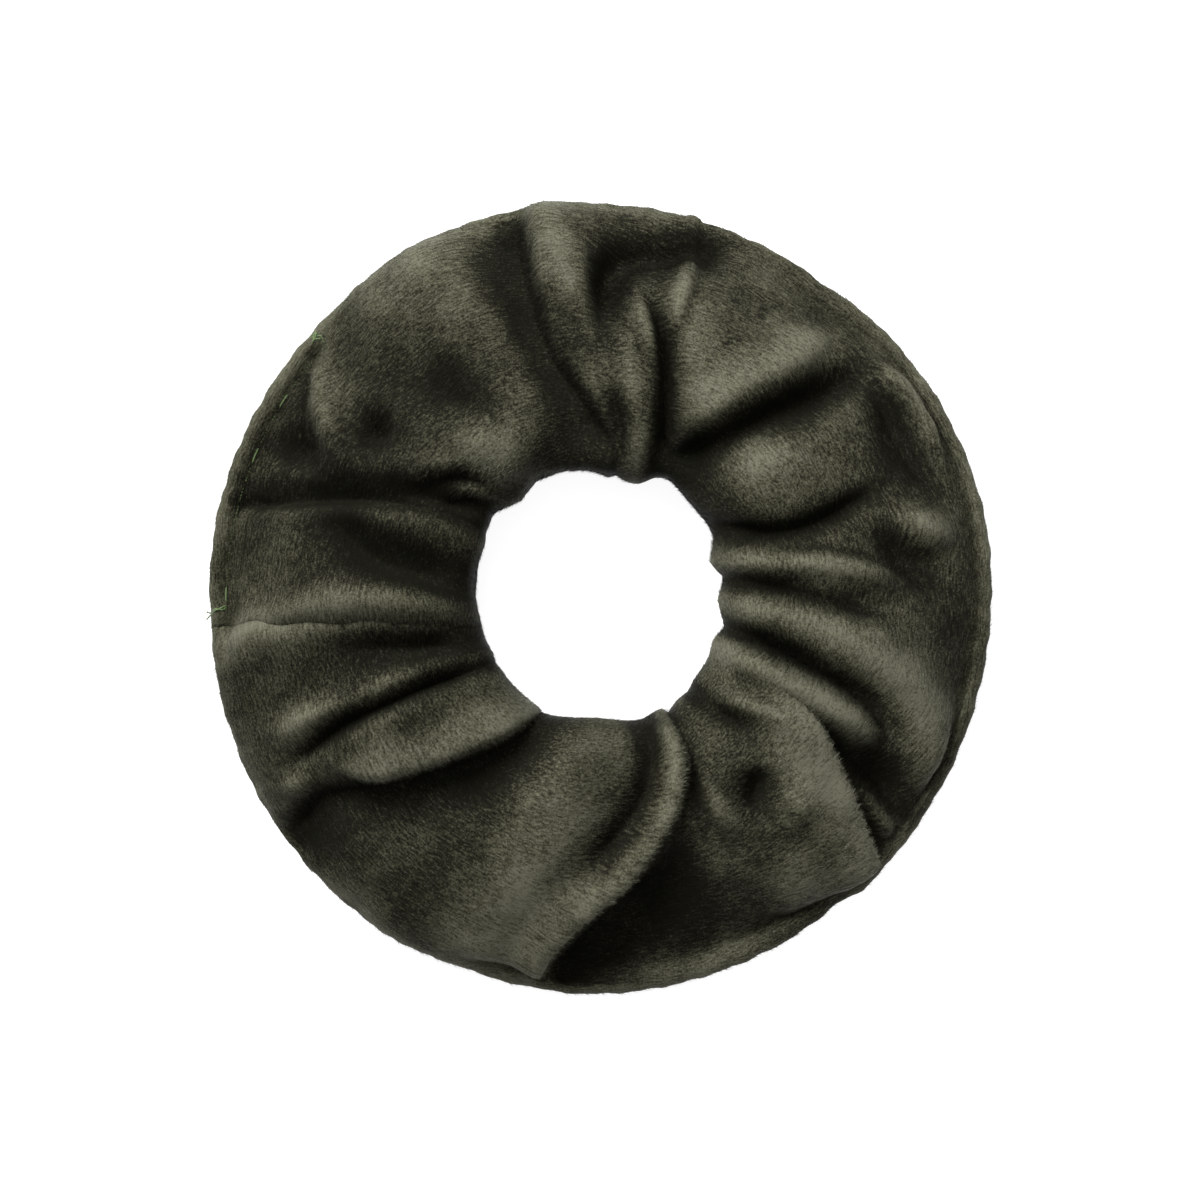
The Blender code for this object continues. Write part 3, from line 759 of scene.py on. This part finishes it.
def plantPile(quarter):
    seed = bpy.data.objects.new(f"pile_quarter_{quarter}", coverPiece.data.copy())
    scene.collection.objects.link(seed)
    planting = seed.modifiers.new("plant", "NODES")
    planting.node_group = pileTree(quarter)
    grown = bpy.data.meshes.new_from_object(seed.evaluated_get(bpy.context.evaluated_depsgraph_get()))
    seed.modifiers.clear()
    seed.data = grown
    return seed


pilePieces = [plantPile(quarter) for quarter in range(1, 5)]
for piece in pilePieces:
    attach(piece, "cover")
print("pile planted", [len(p.data.polygons) for p in pilePieces])


# the threads, each of two plies twisted together

threadFacts = {
    "plyRadius": 0.085 * mm,
    "plyOffset": 0.065 * mm,
    "twist": 1.1 * mm,
    "step": 0.15 * mm,
}
coverSurface = BVHTree.FromObject(coverPiece, bpy.context.evaluated_depsgraph_get())


def onCover(degrees, radius, above, spare=7.0):
    # a point this far above the cover's upper face, or at a spare height where there is no cover
    hit = coverSurface.ray_cast(polar(degrees, radius, 60), Vector((0, 0, -1)))[0]
    return polar(degrees, radius, (hit.z / mm if hit else spare) + above)


def underCover(degrees, radius, below):
    hit = coverSurface.ray_cast(polar(degrees, radius, -5), Vector((0, 0, 1)))[0]
    return polar(degrees, radius, hit.z / mm - below)


def evenly(route, step):
    points = [route[0]]
    for target in route[1:]:
        while (target - points[-1]).length > step:
            points.append(points[-1] + (target - points[-1]).normalized() * step)
    return points


def threadPiece(name, routes, material):
    facts = threadFacts
    curve = bpy.data.curves.new(name, "CURVE")
    curve.dimensions = "3D"
    curve.bevel_depth = facts["plyRadius"]
    curve.bevel_resolution = 1
    curve.use_fill_caps = True
    for route in routes:
        line = evenly(route, facts["step"])
        for ply in range(2):
            spline = curve.splines.new("POLY")
            spline.points.add(len(line) - 1)
            side = Vector((0, 0, 1))
            for i, (at, point) in enumerate(zip(line, spline.points)):
                ahead = (line[min(i + 1, len(line) - 1)] - line[max(i - 1, 0)]).normalized()
                side = (side - ahead * side.dot(ahead)).normalized()
                turn = math.tau * i * facts["step"] / facts["twist"] + ply * math.pi
                point.co = (*(at + Matrix.Rotation(turn, 3, ahead) @ side * facts["plyOffset"]), 1)
    shape = bpy.data.objects.new(name, curve)
    scene.collection.objects.link(shape)
    mesh = bpy.data.meshes.new_from_object(shape.evaluated_get(bpy.context.evaluated_depsgraph_get()))
    bpy.data.objects.remove(shape)
    mesh.materials.clear()
    mesh.materials.append(material)
    mesh.shade_smooth()
    piece = bpy.data.objects.new(name, mesh)
    scene.collection.objects.link(piece)
    return piece


def standsFor(piece, body, slot, *nodes):
    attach(piece, body)
    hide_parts(*nodes)


closingFacts = {
    "start": 136.8,
    "end": 180.7,
    "stitches": 14,
    "radius": 62.1,
    "proud": {3: 0.06, 6: 0.10, 13: 0.04},  # stitches that show, and how high
    "hidden": -0.14,  # of the stitches that don't show
    "below": 0.1,  # of the stitches on the underside
    "sunk": -0.2,
    # (degrees, radius, height above the cloth)
    "backStitches": [
        (137.0, 62.6, -0.1), (136.6, 63.8, 0.1), (137.9, 65.0, 0.0), (136.7, 64.6, 0.2), (138.2, 64.0, 0.2),
        (136.4, 64.8, 0.1), (137.6, 64.4, 0.3), (136.9, 63.4, 0.2),
    ],
    "tails": [
        [(180.7, 61.9, -0.2), (181.2, 62.8, 0.25), (181.6, 63.9, 0.3), (182.4, 65.0, 0.2),
         (182.9, 65.6, 0.0)],
        [(180.9, 61.9, -0.2), (181.5, 62.6, 0.2), (181.3, 63.8, 0.3), (181.9, 64.8, 0.4),
         (181.7, 65.5, 0.3)],
    ],
}


def closingRoute(place, sign):
    facts = closingFacts
    stitch = (facts["end"] - facts["start"]) / facts["stitches"]
    route = []
    for i in range(facts["stitches"]):
        high = facts["proud"].get(i, facts["hidden"]) if sign > 0 else facts["below"]
        sunk = facts["sunk"]
        for share, lift in ((0.02, -0.9), (0.08, sunk), (0.3, high), (0.7, high), (0.92, sunk)):
            route.append(place(facts["start"] + stitch * (i + share), facts["radius"], lift))
    return throughPoints(route, 4)


closingRoutes = [closingRoute(onCover, 1)]
closingRoutes.append(throughPoints([onCover(*p) for p in closingFacts["backStitches"]], 6))
closingRoutes += [throughPoints([onCover(*p) for p in tail], 6) for tail in closingFacts["tails"]]
standsFor(threadPiece("closing_topstitch", closingRoutes, greenThread), "cover", "closing_thread",
          "closing_needle_thread")
standsFor(threadPiece("closing_understitch", [closingRoute(underCover, -1)], greenThread), "cover",
          "closing_thread", "closing_bobbin_thread")

longSeamFacts = {"start": 187.0, "end": 494.0, "stitches": 113, "radius": 62.6, "needle": 7.34, "bobbin": 4.68}


def longSeamRoute(height):
    facts = longSeamFacts
    route = []
    for i in range(facts["stitches"] * 2 + 1):
        degrees = facts["start"] + (facts["end"] - facts["start"]) * i / facts["stitches"] / 2
        sway = float(aroundRing(edgeSway, degrees % 360))
        dip = 0.08 if i % 2 else -0.04
        route.append(polar(degrees, facts["radius"] + sway, height + (dip if height > 6 else -dip)))
    return throughPoints(route, 3)


for kind, height in (("needle", longSeamFacts["needle"]), ("bobbin", longSeamFacts["bobbin"])):
    standsFor(threadPiece(f"long_seam_{kind}_row", [longSeamRoute(height)], oliveThread), "cover",
              "seam_thread", f"long_seam_{kind}_thread")

crossSeamFacts = {"inward": 1.75, "sideways": 0.9}
for kind, end in zip(("needle", "bobbin"), seamEnds):
    row = []
    for at, out, side in end:
        row.append(at + (side * crossSeamFacts["sideways"] - out * crossSeamFacts["inward"]) * mm)
    standsFor(threadPiece(f"cross_seam_{kind}_row", [throughPoints(row, 3)], oliveThread), "cover",
              "seam_thread", f"cross_seam_{kind}_thread")
print("threads sewn")


# the elastic, a ribbed braid whose ends overlap, inside the cover

elasticFacts = {
    "width": 6.0,
    "thickness": 0.92,
    "radius": 25.0,
    "height": 10.5,
    "overlap": 12.0,
    "plyGap": 0.15,
    "climb": 30.0,
    "join": 24.0,
    "ribs": 5,
    "ribDepth": 0.07,
    "steps": 400,
    "zigzags": 5,
    "swing": 2.2,
    "joinMargin": 1.5,
    "needleRadius": 26.88,
    "bobbinRadius": 24.12,
}


def elasticMaterial():
    material = newMaterial("braidedElastic", 0.7)
    links = material.node_tree.links
    lay = addNode(material, "ShaderNodeUVMap", uv_map="lay").outputs["UV"]
    apart = addNode(material, "ShaderNodeSeparateXYZ")
    links.new(lay, apart.inputs[0])
    rib = mathNode(material, "PINGPONG", apart.outputs["Y"], 0.6 * mm)
    chevron = mathNode(material, "ADD", apart.outputs["X"], rib)
    strand = mathNode(material, "SINE", mathNode(material, "MULTIPLY", chevron, math.tau / (0.55 * mm)), 0)
    fibres = noiseNode(material, lay, 1 / (0.15 * mm), 3.0, 0.6)
    height = mathNode(material, "ADD", mathNode(material, "MULTIPLY", strand, 0.5), fibres)
    shade = mathNode(material, "MULTIPLY", mathNode(material, "ADD", height, 0.6), 0.5)
    links.new(rampNode(material, shade, [(0.1, (0.006, 0.006, 0.006)), (0.9, (0.05, 0.05, 0.048))]),
              shaderOf(material).inputs["Base Color"])
    links.new(bumpNode(material, height, 0.8, 0.12 * mm), shaderOf(material).inputs["Normal"])
    shaderOf(material).inputs["Sheen Weight"].default_value = 0.2
    return material


def buildElastic():
    facts = elasticFacts
    bm = bmesh.new()
    bmesh.ops.create_circle(bm, segments=64, radius=1.0, cap_ends=True)
    for vert in bm.verts:
        across = math.copysign(abs(vert.co.x) ** 0.3, vert.co.x) * facts["thickness"] / 2
        up = math.copysign(abs(vert.co.y) ** 0.8, vert.co.y) * facts["width"] / 2
        rib = facts["ribDepth"] * math.cos(math.tau * facts["ribs"] * up / facts["width"])
        vert.co = Vector((facts["radius"] + across + math.copysign(rib, across), 0, facts["height"] + up)) * mm
    whole = 360 + math.degrees(facts["overlap"] / facts["radius"])
    perRing = len(bm.verts)
    bmesh.ops.rotate(bm, verts=bm.verts, matrix=Matrix.Rotation(math.radians(facts["join"]), 3, "Z"))
    bmesh.ops.spin(bm, geom=list(bm.verts) + list(bm.edges) + list(bm.faces), axis=(0, 0, 1), cent=(0, 0, 0),
                   angle=math.radians(whole), steps=facts["steps"])
    bm.verts.ensure_lookup_table()
    bm.verts.index_update()
    for vert in bm.verts:
        # the outer end climbs onto the inner one
        turned = whole * (vert.index // perRing) / facts["steps"]
        climb = float(smoothStep(turned, 360 - facts["climb"], 360)) * (1.0 + facts["plyGap"])
        vert.co += Vector((vert.co.x, vert.co.y, 0)).normalized() * climb * mm
    lay = bm.loops.layers.uv.new("lay")
    for face in bm.faces:
        for loop in face.loops:
            ring = loop.vert.index // perRing
            loop[lay].uv = (math.radians(whole) * ring / facts["steps"] * facts["radius"] * mm, loop.vert.co.z)
    bmesh.ops.recalc_face_normals(bm, faces=bm.faces)
    sortByCorners(bm)
    return newPiece("elastic_braid", bm, elasticMaterial())


elasticPiece = buildElastic()
standsFor(elasticPiece, "elastic", "elastic", "elastic_band")


def joinRoute(radius):
    facts = elasticFacts
    margin = facts["joinMargin"]
    route = []
    for i in range(2 * facts["zigzags"] + 1):
        along = margin + (facts["overlap"] - 2 * margin) * i / (2 * facts["zigzags"])
        degrees = facts["join"] + math.degrees(along / facts["radius"])
        route.append(polar(degrees, radius, facts["height"] + facts["swing"] * (-1) ** i))
    return route


for kind in ("needle", "bobbin"):
    joinRow = joinRoute(elasticFacts[f"{kind}Radius"])
    standsFor(threadPiece(f"elastic_join_{kind}_zigzag", [joinRow], oliveThread), "elastic",
              "seam_thread", f"elastic_join_{kind}_thread")
print("elastic made")


# floor and lights

def addFloor():
    bm = bmesh.new()
    bmesh.ops.create_grid(bm, x_segments=1, y_segments=1, size=3.0)
    paper = newMaterial("paleFloor", 0.9)  # a white table lit from below
    shaderOf(paper).inputs["Base Color"].default_value = (0.35, 0.35, 0.35, 1)
    shaderOf(paper).inputs["Specular IOR Level"].default_value = 0.0
    shaderOf(paper).inputs["Emission Color"].default_value = (1, 1, 1, 1)
    shaderOf(paper).inputs["Emission Strength"].default_value = 0.9
    floor = newPiece("floor", bm, paper)
    for vert in floor.data.vertices:
        vert.co.z = -0.0002


def addSoftbox(name, place, size, power, target=(0, 0, 0)):
    data = bpy.data.lights.new(name, "AREA")
    data.shape = "RECTANGLE"
    data.size, data.size_y = size
    data.energy = power
    light = bpy.data.objects.new(name, data)
    light.location = place
    light.rotation_euler = (Vector(target) - Vector(place)).to_track_quat("-Z", "Y").to_euler()
    scene.collection.objects.link(light)


addFloor()
addSoftbox("keySoftbox", (-0.42, 0.82, 0.95), (0.8, 0.8), 37.0)
addSoftbox("topSoftbox", (-0.1, 0.2, 1.5), (1.0, 1.0), 6.0)
world = bpy.data.worlds.new("studio")
world.use_nodes = True
world.node_tree.nodes["Background"].inputs["Color"].default_value = (1, 1, 1, 1)
world.node_tree.nodes["Background"].inputs["Strength"].default_value = 0.24
scene.world = world
print("stage set")
